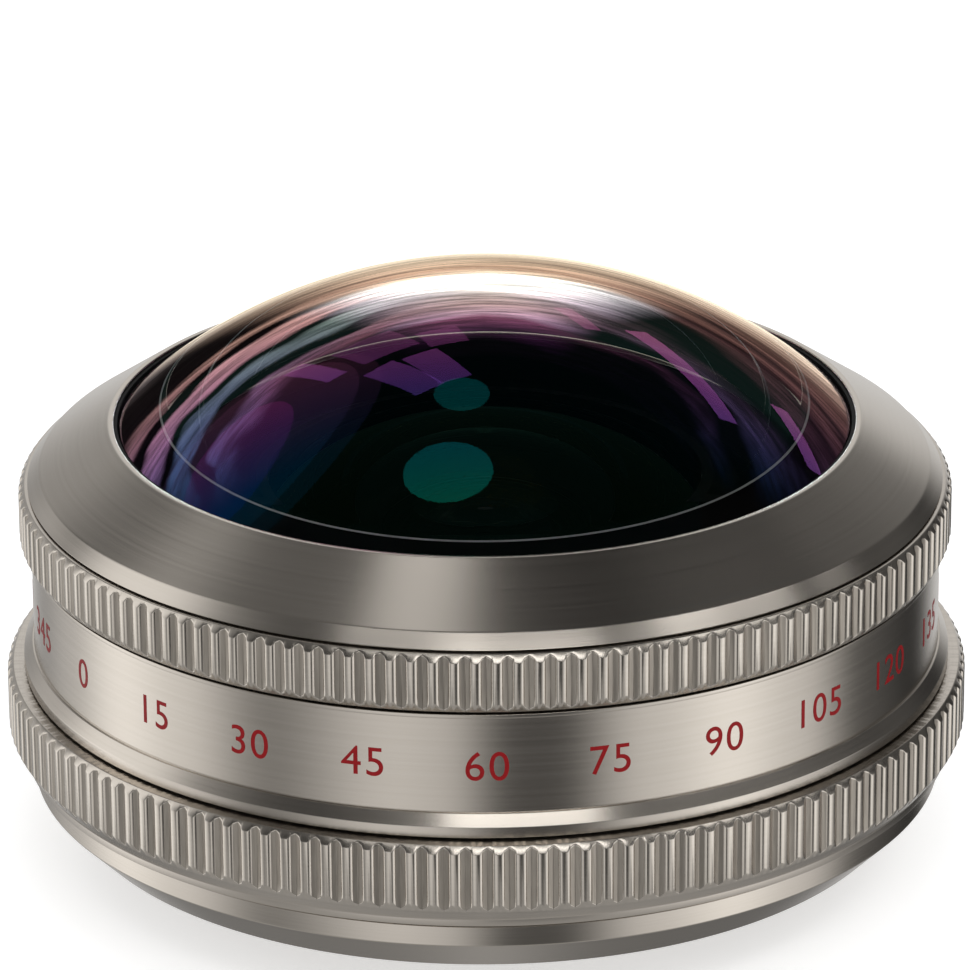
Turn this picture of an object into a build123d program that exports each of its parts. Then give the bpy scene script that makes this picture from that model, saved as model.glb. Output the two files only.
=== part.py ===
from build123d import *
import math
import os

os.makedirs("parts", exist_ok=True)

# A fisheye lens for a phone camera. The optical axis is Z, the front glass faces +Z, and
# the origin is on the axis at the rear face that seats on the phone case. All sizes in mm.

# Outside sizes
waist_radius = 27.8
waist_height = 6.0
focus_grip_proud = 0.7
mount_grip_proud = 1.7
mount_step_back = 0.9
base_band_proud = 0.2
shoulder_proud = 0.65
bead_proud = 0.15
bezel_edge_proud = 0.17

# Heights of the outside steps, from the rear face up
base_chamfer = 2.28
base_band_height = 1.25
joint_line = 0.32
mount_step_height = 0.45
mount_slope_height = 0.68
mount_grip_height = 4.32
mount_gap = 0.15
shoulder_band_height = 0.65
shoulder_slope_height = 0.7
bead_height = 0.25
focus_gap = 0.25
focus_grip_height = 3.65
bezel_gap = 0.12
bezel_edge_height = 0.86
bezel_cone_height = 2.87

# Grip grooves: a V with a narrow floor, running out on both end chamfers
groove_count = 144
groove_half_width = 0.485
groove_floor_half_width = 0.08
groove_depth = 0.42
groove_overcut = 0.2
grip_chamfer_depth = 0.5
grip_front_chamfer = 0.37
grip_rear_chamfer = 0.65

# Fits
running_gap = 0.05
thread_gap = 0.03
seat_gap = 0.02
cement_gap = 0.02

# Walls of the nested tubes, from the waist inwards
sleeve_wall = 1.5
cam_gap = 0.4
cam_wall = 1.2
barrel_wall = 1.65
barrel_flange_step = 1.7
barrel_flange_height = 1.85

# Bezel and front glass
bezel_reach = 5.2
lip_land = 0.35
lip_hold = 0.4
lip_gap = 0.6
bezel_cone_step = 0.77
seal_thickness = 0.16
seal_rise = 0.22
dome_height = 8.2
dome_thickness = 3.0
glass_seat_depth = 1.9
rim_width = 5.0
seat_width = 2.4
front_land_height = 3.1

# Second element and the baffle that carries it
second_radius = 14.0
second_edge = 2.4
second_land = 0.7
second_front_rise = 3.2
second_hollow_radius = 10.6
second_hollow_rise = 4.2
second_drop = 0.5
second_ring_height = 1.3
second_ring_bore = 11.2
baffle_rim_height = 2.0
baffle_web = 1.2
baffle_hub_wall = 1.35
baffle_trough = 1.2

# Focusing cell and its glasses
focus_throw = 90.0
focus_rise = 1.5
optic_radius = 8.0
optic_land = 0.7
cell_wall = 1.15
cell_lip = 0.8
cell_clearance = 0.5
cell_web = 1.6
guide_wall = 1.65
guide_below = 3.8
guide_above = 2.0
third_edge = 1.2
third_front_rise = 1.9
third_rear_rise = 0.9
stop_thickness = 0.2
stop_bore = 4.2
stop_spacer_height = 1.6
fourth_edge = 0.8
fourth_front_rise = 1.2
cement_rise = 1.6
fifth_edge = 2.4
cell_ring_height = 0.9
cell_ring_recess = 0.2
cell_ring_wall = 1.2
spanner_slot_width = 1.0
spanner_slot_depth = 0.4

# Pins and screws of the focusing gear
follower_count = 3
follower_radius = 0.9
follower_height = 1.6
follower_seat = 1.3
follower_short = 0.15
follower_angle = 30.0
slot_gap = 0.05
cam_screw_radius = 0.7
cam_screw_drop = 1.9
cam_screw_bite = 1.2
cam_screw_angle = 90.0
cam_start = 0.15
sleeve_foot = 1.15
stop_screw_radius = 0.9
stop_slot_web = 0.8
stop_screw_angle = 60.0

# Glide rings
glide_width = 1.1
glide_recess = 0.5
mount_glide_height = 0.2

# Rear flange and the threaded spigot
register_wall = 2.9
register_height = 1.05
flange_floor = 2.6
spigot_radius = 8.5
spigot_length = 3.0
spigot_bore = 6.7
spigot_flange_radius = 12.9
spigot_flange_height = 1.2
spigot_pilot_radius = 9.4
spigot_chamfer = 0.4
spigot_screw_count = 4
spigot_screw_circle = 11.15
spigot_screw_radius = 0.7
spigot_screw_head_radius = 1.3
spigot_screw_length = 2.3
screw_gap = 0.02
rear_gap = 0.7

# Heights along the axis
base_band_top = base_chamfer + base_band_height
mount_ring_bottom = base_band_top + joint_line
mount_step_top = mount_ring_bottom + mount_step_height
mount_grip_bottom = mount_step_top + mount_slope_height
mount_ring_top = mount_grip_bottom + mount_grip_height
sleeve_bottom = mount_ring_top + mount_gap
shoulder_top = sleeve_bottom + shoulder_band_height
waist_bottom = shoulder_top + shoulder_slope_height
waist_top = waist_bottom + waist_height
bead_top = waist_top + bead_height
focus_ring_bottom = bead_top + focus_gap
focus_ring_top = focus_ring_bottom + focus_grip_height
bezel_bottom = focus_ring_top + bezel_gap
cone_bottom = bezel_bottom + bezel_edge_height
lip_top = cone_bottom + bezel_cone_height
dome_apex = lip_top + dome_height
glass_seat = lip_top - glass_seat_depth
land_bottom = glass_seat - front_land_height
register_top = mount_ring_bottom + register_height
barrel_bottom = register_top + mount_glide_height + running_gap
barrel_flange_top = barrel_bottom + barrel_flange_height
mount_lip_bottom = barrel_flange_top + running_gap + mount_glide_height

# Radii
sleeve_bore = waist_radius - sleeve_wall
cam_outer = sleeve_bore - cam_gap
cam_bore = cam_outer - cam_wall
barrel_outer = cam_bore - running_gap
guide_bore = barrel_outer - barrel_wall
cell_outer = guide_bore - running_gap
barrel_flange_radius = barrel_outer + barrel_flange_step
mount_bore = barrel_flange_radius + running_gap
focus_crest = waist_radius + focus_grip_proud
mount_crest = waist_radius + mount_grip_proud
mount_step_radius = mount_crest - mount_step_back
base_radius = waist_radius + base_band_proud
bezel_radius = waist_radius + bezel_edge_proud
cone_radius = bezel_radius - bezel_cone_step
lip_radius = waist_radius - bezel_reach
dome_radius = lip_radius - lip_gap
glass_radius = lip_radius + lip_hold
hollow_radius = glass_radius - rim_width
seat_bore = glass_radius - seat_width

# The front glass is a ball of this radius, cut off at its rim
ball_radius = (dome_radius**2 + dome_height**2) / (2 * dome_height)
ball_centre = dome_apex - ball_radius


def dome_height_at(radius):
    """Height of the front glass's outer face at a distance from the axis."""
    return ball_centre + math.sqrt(ball_radius**2 - radius**2)


def radial_plane(angle, height):
    """Plane across a radius at an angle about the axis, its normal pointing outwards."""
    turn = math.radians(angle)
    outwards = (math.cos(turn), math.sin(turn), 0)
    sideways = (-math.sin(turn), math.cos(turn), 0)
    return Plane(origin=(0, 0, height), x_dir=sideways, z_dir=outwards)


def section_plane(angle, height):
    """Plane through the axis at an angle about it, its x pointing outwards and its y up."""
    turn = math.radians(angle)
    outwards = (math.cos(turn), math.sin(turn), 0)
    across = (math.sin(turn), -math.cos(turn), 0)
    return Plane(origin=(0, 0, height), x_dir=outwards, z_dir=across)


def even_angles(first, count):
    """Angles of equal parts set evenly round the axis."""
    return [first + 360.0 / count * index for index in range(count)]


groove_outline = [
    (groove_overcut, -groove_half_width),
    (0, -groove_half_width),
    (-groove_depth, -groove_floor_half_width),
    (-groove_depth, groove_floor_half_width),
    (0, groove_half_width),
    (groove_overcut, groove_half_width),
]

# Front bezel: a turned ring with a wide cone, screwed over the barrel's front to clamp the glass
glass_pocket = glass_radius + running_gap
bezel_bore = barrel_outer + thread_gap
seal_room = seal_thickness + 2 * seat_gap
with BuildPart() as front_bezel:
    with BuildSketch(Plane.XZ):
        Polygon(
            (bezel_bore, bezel_bottom),
            (bezel_radius, bezel_bottom),
            (cone_radius, cone_bottom),
            (lip_radius + lip_land, lip_top),
            (lip_radius, lip_top),
            (lip_radius, dome_height_at(lip_radius) + seal_room),
            (glass_pocket, dome_height_at(glass_pocket) + seal_room),
            (glass_pocket, glass_seat + running_gap),
            (bezel_bore, glass_seat + running_gap),
            align=None,
        )
    revolve(axis=Axis.Z)
front_bezel.part.label = "front_bezel"
export_step(front_bezel.part, "parts/front_bezel.step")

# Front element: the bulging glass, a meniscus with a deep hollow at its back
with BuildPart() as front_element:
    with BuildSketch(Plane.XZ):
        with BuildLine():
            TangentArc((0, dome_apex), (glass_radius, dome_height_at(glass_radius)), tangent=(1, 0))
            Polyline(
                (glass_radius, dome_height_at(glass_radius)),
                (glass_radius, glass_seat),
                (hollow_radius, glass_seat),
            )
            TangentArc((0, dome_apex - dome_thickness), (hollow_radius, glass_seat), tangent=(1, 0))
            Line((0, dome_apex - dome_thickness), (0, dome_apex))
        make_face()
    revolve(axis=Axis.Z)
front_element.part.label = "front_element"
export_step(front_element.part, "parts/front_element.step")

# Front seal: a black rubber ring squeezed between the bezel's lip and the glass
seal_outer = glass_radius
seal_inner = lip_radius - seal_rise
with BuildPart() as front_seal:
    with BuildSketch(Plane.XZ):
        Polygon(
            (seal_outer, dome_height_at(seal_outer) + seat_gap),
            (seal_inner, dome_height_at(seal_inner) + seat_gap),
            (seal_inner, dome_height_at(seal_inner) + seat_gap + seal_thickness),
            (lip_radius - seat_gap, dome_height_at(seal_inner) + seat_gap + seal_thickness),
            (lip_radius - seat_gap, dome_height_at(lip_radius) + seat_gap + seal_thickness),
            (seal_outer, dome_height_at(seal_outer) + seat_gap + seal_thickness),
            align=None,
        )
    revolve(axis=Axis.Z)
front_seal.part.label = "front_seal"
export_step(front_seal.part, "parts/front_seal.step")

# Main barrel: the fixed tube that everything is built on. Its rear flange is trapped in the
# mount ring, and three straight slots let the followers of the focusing cell through.
follower_z = waist_bottom + follower_height
slot_half_width = follower_radius + slot_gap
follower_angles = even_angles(follower_angle, follower_count)
stop_slot_half_width = stop_screw_radius + slot_gap
stop_z = follower_z + focus_rise + slot_half_width + stop_slot_web + stop_slot_half_width
with BuildPart() as main_barrel:
    with BuildSketch(Plane.XZ):
        Polygon(
            (guide_bore, barrel_bottom),
            (barrel_flange_radius, barrel_bottom),
            (barrel_flange_radius, barrel_flange_top),
            (barrel_outer, barrel_flange_top),
            (barrel_outer, glass_seat),
            (seat_bore, glass_seat),
            (seat_bore, land_bottom),
            (guide_bore, land_bottom),
            align=None,
        )
    revolve(axis=Axis.Z)
    for angle in follower_angles:
        with BuildSketch(radial_plane(angle, follower_z + focus_rise / 2)):
            SlotCenterToCenter(focus_rise, 2 * slot_half_width, rotation=90)
        extrude(amount=waist_radius, mode=Mode.SUBTRACT)
    with BuildSketch(radial_plane(stop_screw_angle, stop_z)):
        Circle(stop_screw_radius + screw_gap)
    extrude(amount=waist_radius, mode=Mode.SUBTRACT)
main_barrel.part.label = "main_barrel"
export_step(main_barrel.part, "parts/main_barrel.step")

# Scale sleeve: the plain waist with its shoulder, screwed down on the barrel by its foot
sleeve_foot_bore = barrel_outer + thread_gap
with BuildPart() as scale_sleeve:
    with BuildSketch(Plane.XZ):
        Polygon(
            (sleeve_foot_bore, sleeve_bottom),
            (waist_radius + shoulder_proud, sleeve_bottom),
            (waist_radius + shoulder_proud, shoulder_top),
            (waist_radius + bead_proud, waist_bottom),
            (waist_radius, waist_bottom),
            (waist_radius, waist_top),
            (waist_radius + bead_proud, waist_top),
            (waist_radius + bead_proud, bead_top),
            (sleeve_bore, bead_top),
            (sleeve_bore, sleeve_bottom + sleeve_foot),
            (sleeve_foot_bore, sleeve_bottom + sleeve_foot),
            align=None,
        )
    revolve(axis=Axis.Z)
scale_sleeve.part.label = "scale_sleeve"
export_step(scale_sleeve.part, "parts/scale_sleeve.step")

# Focus stop screw: a stud in the barrel that runs in the cam sleeve's arc slot
with BuildPart() as focus_stop_screw:
    with BuildSketch(radial_plane(stop_screw_angle, stop_z).offset(guide_bore + running_gap)):
        Circle(stop_screw_radius)
    extrude(amount=cam_outer - follower_short - guide_bore - running_gap)
focus_stop_screw.part.label = "focus_stop_screw"
export_step(focus_stop_screw.part, "parts/focus_stop_screw.step")

# Front baffle: the black carrier screwed up into the barrel under its front land. It holds
# the second element and has a trough that catches stray light.
second_top = land_bottom - second_drop
second_rear = second_top - second_edge
second_ring_bottom = second_rear - second_ring_height
second_bore = second_radius + seat_gap
baffle_hub = second_bore + baffle_hub_wall
baffle_outer = guide_bore - thread_gap
baffle_lip_radius = second_radius - second_land + seat_gap
trough_radius = (second_bore + seat_bore) / 2
baffle_lip_top = second_top + second_land
with BuildPart() as front_baffle:
    with BuildSketch(Plane.XZ):
        Polygon(
            (baffle_outer, land_bottom),
            (seat_bore, land_bottom),
            (trough_radius, land_bottom - baffle_trough),
            (second_bore, baffle_lip_top),
            (baffle_lip_radius, baffle_lip_top),
            (baffle_lip_radius, second_top),
            (second_bore, second_top),
            (second_bore, second_ring_bottom),
            (baffle_hub, second_ring_bottom),
            (baffle_hub, land_bottom - baffle_trough - baffle_web),
            (baffle_outer, land_bottom - baffle_rim_height),
            align=None,
        )
    revolve(axis=Axis.Z)
front_baffle.part.label = "front_baffle"
export_step(front_baffle.part, "parts/front_baffle.step")

# Second element: a smaller meniscus, bulging forwards and deeply hollow at its back
second_apex = second_top + second_front_rise
second_hollow_apex = second_rear + second_hollow_rise
with BuildPart() as second_element:
    with BuildSketch(Plane.XZ):
        with BuildLine():
            TangentArc((0, second_apex), (second_radius - second_land, second_top), tangent=(1, 0))
            Polyline(
                (second_radius - second_land, second_top),
                (second_radius, second_top),
                (second_radius, second_rear),
                (second_hollow_radius, second_rear),
            )
            TangentArc((0, second_hollow_apex), (second_hollow_radius, second_rear), tangent=(1, 0))
            Line((0, second_hollow_apex), (0, second_apex))
        make_face()
    revolve(axis=Axis.Z)
second_element.part.label = "second_element"
export_step(second_element.part, "parts/second_element.step")

# Second retaining ring: screwed in behind the second element
with BuildPart() as second_retaining_ring:
    with BuildSketch(Plane.XY.offset(second_ring_bottom)):
        Circle(second_radius)
        Circle(second_ring_bore, mode=Mode.SUBTRACT)
    extrude(amount=second_ring_height)
    with BuildSketch(Plane.XY.offset(second_ring_bottom)):
        Rectangle(2 * waist_radius, spanner_slot_width)
    extrude(amount=spanner_slot_depth, mode=Mode.SUBTRACT)
second_retaining_ring.part.label = "second_retaining_ring"
export_step(second_retaining_ring.part, "parts/second_retaining_ring.step")

# Focus ring: the front grip ring, grooved all round and chamfered at both ends, with a
# counterbore in its front face for the glide ring
focus_ring_bore = cam_outer + seat_gap
focus_root = focus_crest - grip_chamfer_depth
focus_glide_outer = focus_ring_bore + glide_width
cam_screw_z = focus_ring_top - cam_screw_drop
with BuildPart() as focus_ring:
    with BuildSketch(Plane.XZ):
        Polygon(
            (focus_ring_bore, focus_ring_bottom),
            (focus_root, focus_ring_bottom),
            (focus_crest, focus_ring_bottom + grip_rear_chamfer),
            (focus_crest, focus_ring_top - grip_front_chamfer),
            (focus_root, focus_ring_top),
            (focus_glide_outer, focus_ring_top),
            (focus_glide_outer, focus_ring_top - glide_recess),
            (focus_ring_bore, focus_ring_top - glide_recess),
            align=None,
        )
    revolve(axis=Axis.Z)
    with BuildSketch(Plane.XY.offset(focus_ring_bottom)):
        with PolarLocations(focus_crest, groove_count):
            Polygon(*groove_outline, align=None)
    extrude(amount=focus_grip_height, mode=Mode.SUBTRACT)
    for angle in even_angles(cam_screw_angle, follower_count):
        with BuildSketch(radial_plane(angle, cam_screw_z)):
            Circle(cam_screw_radius + screw_gap)
        extrude(amount=cam_outer + cam_screw_bite + screw_gap, mode=Mode.SUBTRACT)
focus_ring.part.label = "focus_ring"
export_step(focus_ring.part, "parts/focus_ring.step")

# Focus glide ring: a slippery washer standing just proud of the focus ring's front face
with BuildPart() as focus_glide_ring:
    with BuildSketch(Plane.XY.offset(focus_ring_top - glide_recess)):
        Circle(focus_glide_outer - seat_gap)
        Circle(cam_outer + seat_gap, mode=Mode.SUBTRACT)
    extrude(amount=glide_recess + bezel_gap - running_gap)
focus_glide_ring.part.label = "focus_glide_ring"
export_step(focus_glide_ring.part, "parts/focus_glide_ring.step")

# The room of one cam slot: it climbs round the axis and is rounded at both ends
cam_pitch = focus_rise * 360.0 / focus_throw
cam_mid_radius = (cam_outer + cam_bore) / 2
cam_cut = 2 * cam_wall
with BuildPart() as cam_slot:
    with BuildLine() as climb:
        Helix(cam_pitch, focus_rise, cam_mid_radius, center=(0, 0, follower_z), lefthand=True)
    with BuildSketch(Plane(origin=climb.line @ 0, x_dir=(1, 0, 0), z_dir=climb.line % 0)):
        Rectangle(cam_cut, 2 * slot_half_width)
    sweep(path=climb.line, is_frenet=True)
    for end_angle, end_z in [(0, follower_z), (-focus_throw, follower_z + focus_rise)]:
        with BuildSketch(radial_plane(end_angle, end_z).offset(cam_mid_radius - cam_wall)):
            Circle(slot_half_width)
        extrude(amount=cam_cut)

# Cam sleeve: the thin tube screwed inside the focus ring. Its three slots climb as the ring
# turns and push the followers along, and an arc slot at its front runs on the stop screw.
cam_bottom = sleeve_bottom + sleeve_foot + cam_start
cam_height = focus_ring_top - cam_bottom
with BuildPart() as cam_sleeve:
    with BuildSketch(Plane.XY.offset(cam_bottom)):
        Circle(cam_outer)
        Circle(cam_bore, mode=Mode.SUBTRACT)
    extrude(amount=cam_height)
    for angle in follower_angles:
        add(cam_slot.part, rotation=(0, 0, angle), mode=Mode.SUBTRACT)
    with BuildSketch(section_plane(stop_screw_angle - focus_throw, stop_z)):
        with Locations((cam_mid_radius, 0)):
            Rectangle(cam_cut, 2 * stop_slot_half_width)
    revolve(axis=Axis.Z, revolution_arc=focus_throw, mode=Mode.SUBTRACT)
    for end_angle in [stop_screw_angle, stop_screw_angle - focus_throw]:
        with BuildSketch(radial_plane(end_angle, stop_z)):
            Circle(stop_slot_half_width)
        extrude(amount=waist_radius, mode=Mode.SUBTRACT)
    for angle in even_angles(cam_screw_angle, follower_count):
        with BuildSketch(radial_plane(angle, cam_screw_z)):
            Circle(cam_screw_radius + screw_gap)
        extrude(amount=waist_radius, mode=Mode.SUBTRACT)
cam_sleeve.part.label = "cam_sleeve"
export_step(cam_sleeve.part, "parts/cam_sleeve.step")

# Cam screws: three grub screws driven outwards through the cam sleeve into the focus ring
with BuildPart() as cam_screws:
    for angle in even_angles(cam_screw_angle, follower_count):
        with BuildSketch(radial_plane(angle, cam_screw_z).offset(cam_bore + running_gap)):
            Circle(cam_screw_radius)
        extrude(amount=cam_wall + cam_screw_bite - running_gap)
cam_screws.part.label = "cam_screws"
export_step(cam_screws.part, "parts/cam_screws.step")

# Focusing cell: a guide ring that slides in the barrel, a web, and the tube of the rear glasses
spigot_pilot_top = flange_floor
cell_bottom = spigot_pilot_top + rear_gap
cell_top = second_ring_bottom - focus_rise - cell_clearance
optic_bore = optic_radius + seat_gap
cell_tube = optic_bore + cell_wall
optic_lip = optic_radius - optic_land + seat_gap
guide_bottom = follower_z - guide_below
guide_top = follower_z + guide_above
guide_inner = cell_outer - guide_wall
with BuildPart() as focus_cell:
    with BuildSketch(Plane.XZ):
        Polygon(
            (optic_bore, cell_bottom),
            (cell_tube, cell_bottom),
            (cell_tube, guide_bottom),
            (cell_outer, guide_bottom),
            (cell_outer, guide_top),
            (guide_inner, guide_top),
            (guide_inner, guide_bottom + cell_web),
            (cell_tube, guide_bottom + cell_web),
            (cell_tube, cell_top),
            (optic_lip, cell_top),
            (optic_lip, cell_top - cell_lip),
            (optic_bore, cell_top - cell_lip),
            align=None,
        )
    revolve(axis=Axis.Z)
    for angle in follower_angles:
        with BuildSketch(radial_plane(angle, follower_z).offset(cell_outer - follower_seat)):
            Circle(follower_radius + screw_gap)
        extrude(amount=waist_radius, mode=Mode.SUBTRACT)
focus_cell.part.label = "focus_cell"
export_step(focus_cell.part, "parts/focus_cell.step")

# Cam followers: three brass pins pressed into the cell, through the barrel into the cam slots
with BuildPart() as cam_followers:
    for angle in follower_angles:
        with BuildSketch(radial_plane(angle, follower_z).offset(cell_outer - follower_seat)):
            Circle(follower_radius)
        extrude(amount=cam_outer - follower_short - cell_outer + follower_seat)
cam_followers.part.label = "cam_followers"
export_step(cam_followers.part, "parts/cam_followers.step")

# Third element: the positive glass at the front of the cell, held under its lip
third_top = cell_top - cell_lip
third_rear = third_top - third_edge
land_radius = optic_radius - optic_land
with BuildPart() as third_element:
    with BuildSketch(Plane.XZ):
        with BuildLine():
            TangentArc((0, third_top + third_front_rise), (land_radius, third_top), tangent=(1, 0))
            Polyline(
                (land_radius, third_top),
                (optic_radius, third_top),
                (optic_radius, third_rear),
                (land_radius, third_rear),
            )
            TangentArc((0, third_rear - third_rear_rise), (land_radius, third_rear), tangent=(1, 0))
            Line((0, third_rear - third_rear_rise), (0, third_top + third_front_rise))
        make_face()
    revolve(axis=Axis.Z)
third_element.part.label = "third_element"
export_step(third_element.part, "parts/third_element.step")

# Rear doublet, from the rear: a hollow flint glass and a full crown glass cemented in it
fifth_rear = cell_bottom + cell_ring_recess + cell_ring_height
fifth_top = fifth_rear + fifth_edge
fourth_rear = fifth_top + cement_gap
fourth_top = fourth_rear + fourth_edge
with BuildPart() as fifth_element:
    with BuildSketch(Plane.XZ):
        with BuildLine():
            Polyline(
                (0, fifth_rear),
                (optic_radius, fifth_rear),
                (optic_radius, fifth_top),
            )
            TangentArc((0, fifth_top - cement_rise), (optic_radius, fifth_top), tangent=(1, 0))
            Line((0, fifth_top - cement_rise), (0, fifth_rear))
        make_face()
    revolve(axis=Axis.Z)
fifth_element.part.label = "fifth_element"
export_step(fifth_element.part, "parts/fifth_element.step")

with BuildPart() as fourth_element:
    with BuildSketch(Plane.XZ):
        with BuildLine():
            TangentArc((0, fourth_top + fourth_front_rise), (land_radius, fourth_top), tangent=(1, 0))
            Polyline(
                (land_radius, fourth_top),
                (optic_radius, fourth_top),
                (optic_radius, fourth_rear),
            )
            TangentArc((0, fourth_rear - cement_rise), (optic_radius, fourth_rear), tangent=(1, 0))
            Line((0, fourth_rear - cement_rise), (0, fourth_top + fourth_front_rise))
        make_face()
    revolve(axis=Axis.Z)
fourth_element.part.label = "fourth_element"
export_step(fourth_element.part, "parts/fourth_element.step")

# Stop spacer, aperture stop and cell spacer: they stack between the doublet and the third element
spacer_bore = land_radius + seat_gap
with BuildPart() as stop_spacer:
    with BuildSketch(Plane.XY.offset(fourth_top)):
        Circle(optic_radius)
        Circle(spacer_bore, mode=Mode.SUBTRACT)
    extrude(amount=stop_spacer_height)
stop_spacer.part.label = "stop_spacer"
export_step(stop_spacer.part, "parts/stop_spacer.step")

stop_bottom = fourth_top + stop_spacer_height
with BuildPart() as aperture_stop:
    with BuildSketch(Plane.XY.offset(stop_bottom)):
        Circle(optic_radius)
        Circle(stop_bore, mode=Mode.SUBTRACT)
    extrude(amount=stop_thickness)
aperture_stop.part.label = "aperture_stop"
export_step(aperture_stop.part, "parts/aperture_stop.step")

cell_spacer_bottom = stop_bottom + stop_thickness
with BuildPart() as cell_spacer:
    with BuildSketch(Plane.XY.offset(cell_spacer_bottom)):
        Circle(optic_radius)
        Circle(spacer_bore, mode=Mode.SUBTRACT)
    extrude(amount=third_rear - cell_spacer_bottom)
cell_spacer.part.label = "cell_spacer"
export_step(cell_spacer.part, "parts/cell_spacer.step")

# Cell retaining ring: screwed in behind the doublet, with a spanner slot across its rear
with BuildPart() as cell_retaining_ring:
    with BuildSketch(Plane.XY.offset(fifth_rear - cell_ring_height)):
        Circle(optic_radius)
        Circle(optic_radius - cell_ring_wall, mode=Mode.SUBTRACT)
    extrude(amount=cell_ring_height)
    with BuildSketch(Plane.XY.offset(fifth_rear - cell_ring_height)):
        Rectangle(2 * waist_radius, spanner_slot_width)
    extrude(amount=spanner_slot_depth, mode=Mode.SUBTRACT)
cell_retaining_ring.part.label = "cell_retaining_ring"
export_step(cell_retaining_ring.part, "parts/cell_retaining_ring.step")

# Mount ring: the rear grip ring, which turns round the barrel. Its front lip sits over the
# barrel's flange.
mount_root = mount_crest - grip_chamfer_depth
mount_lip_bore = barrel_outer + running_gap
with BuildPart() as mount_ring:
    with BuildSketch(Plane.XZ):
        Polygon(
            (mount_bore, mount_ring_bottom),
            (mount_step_radius, mount_ring_bottom),
            (mount_step_radius, mount_step_top),
            (mount_root, mount_grip_bottom),
            (mount_crest, mount_grip_bottom + grip_rear_chamfer),
            (mount_crest, mount_ring_top - grip_front_chamfer),
            (mount_root, mount_ring_top),
            (mount_lip_bore, mount_ring_top),
            (mount_lip_bore, mount_lip_bottom),
            (mount_bore, mount_lip_bottom),
            align=None,
        )
    revolve(axis=Axis.Z)
    with BuildSketch(Plane.XY.offset(mount_grip_bottom)):
        with PolarLocations(mount_crest, groove_count):
            Polygon(*groove_outline, align=None)
    extrude(amount=mount_grip_height, mode=Mode.SUBTRACT)
mount_ring.part.label = "mount_ring"
export_step(mount_ring.part, "parts/mount_ring.step")

# Two glide rings, one each side of the barrel's flange
glide_outer = mount_bore - seat_gap
glide_inner = barrel_outer + running_gap
with BuildPart() as front_glide_ring:
    with BuildSketch(Plane.XY.offset(mount_lip_bottom - mount_glide_height)):
        Circle(glide_outer)
        Circle(glide_inner, mode=Mode.SUBTRACT)
    extrude(amount=mount_glide_height)
front_glide_ring.part.label = "front_glide_ring"
export_step(front_glide_ring.part, "parts/front_glide_ring.step")

with BuildPart() as rear_glide_ring:
    with BuildSketch(Plane.XY.offset(register_top)):
        Circle(glide_outer)
        Circle(glide_inner, mode=Mode.SUBTRACT)
    extrude(amount=mount_glide_height)
rear_glide_ring.part.label = "rear_glide_ring"
export_step(rear_glide_ring.part, "parts/rear_glide_ring.step")

# Rear flange: the base of the lens, a shallow cup screwed up into the mount ring. Its rear
# face is recessed for the spigot.
register_radius = mount_bore - thread_gap
register_inner = mount_bore - register_wall
ring_seat_radius = (register_radius + base_radius) / 2
spigot_recess = spigot_flange_radius + seat_gap
pilot_bore = spigot_pilot_radius + seat_gap
with BuildPart() as rear_flange:
    with BuildSketch(Plane.XZ):
        Polygon(
            (spigot_recess, 0),
            (base_radius - base_chamfer, 0),
            (base_radius, base_chamfer),
            (base_radius, base_band_top),
            (ring_seat_radius, base_band_top),
            (ring_seat_radius, mount_ring_bottom),
            (register_radius, mount_ring_bottom),
            (register_radius, register_top),
            (register_inner, register_top),
            (register_inner, flange_floor),
            (pilot_bore, flange_floor),
            (pilot_bore, spigot_flange_height),
            (spigot_recess, spigot_flange_height),
            align=None,
        )
    revolve(axis=Axis.Z)
    with BuildSketch(Plane.XY.offset(spigot_flange_height)):
        with PolarLocations(spigot_screw_circle, spigot_screw_count):
            Circle(spigot_screw_radius + screw_gap)
    extrude(amount=spigot_screw_length + screw_gap - spigot_flange_height, mode=Mode.SUBTRACT)
rear_flange.part.label = "rear_flange"
export_step(rear_flange.part, "parts/rear_flange.step")

# Mount spigot: the short tube that screws into a phone case, drawn at its thread's major
# diameter, with four countersunk holes through its flange
with BuildPart() as mount_spigot:
    with BuildSketch(Plane.XZ):
        Polygon(
            (spigot_bore, -spigot_length),
            (spigot_radius - spigot_chamfer, -spigot_length),
            (spigot_radius, -spigot_length + spigot_chamfer),
            (spigot_radius, 0),
            (spigot_flange_radius, 0),
            (spigot_flange_radius, spigot_flange_height),
            (spigot_pilot_radius, spigot_flange_height),
            (spigot_pilot_radius, spigot_pilot_top),
            (spigot_bore, spigot_pilot_top),
            align=None,
        )
    revolve(axis=Axis.Z)
    with Locations(Plane.XY.rotated((180, 0, 0))):
        with PolarLocations(spigot_screw_circle, spigot_screw_count):
            CounterSinkHole(
                spigot_screw_radius + screw_gap,
                spigot_screw_head_radius + screw_gap,
                depth=spigot_flange_height,
                counter_sink_angle=90,
            )
mount_spigot.part.label = "mount_spigot"
export_step(mount_spigot.part, "parts/mount_spigot.step")

# Spigot screws: four small countersunk screws from the rear
screw_foot = (Align.CENTER, Align.CENTER, Align.MIN)
screw_head_height = spigot_screw_head_radius - spigot_screw_radius
with BuildPart() as spigot_screws:
    with PolarLocations(spigot_screw_circle, spigot_screw_count):
        Cone(spigot_screw_head_radius, spigot_screw_radius, screw_head_height, align=screw_foot)
        Cylinder(spigot_screw_radius, spigot_screw_length, align=screw_foot)
spigot_screws.part.label = "spigot_screws"
export_step(spigot_screws.part, "parts/spigot_screws.step")
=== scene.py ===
import math

import bmesh
import bpy
from mathutils import Matrix, Vector


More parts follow.
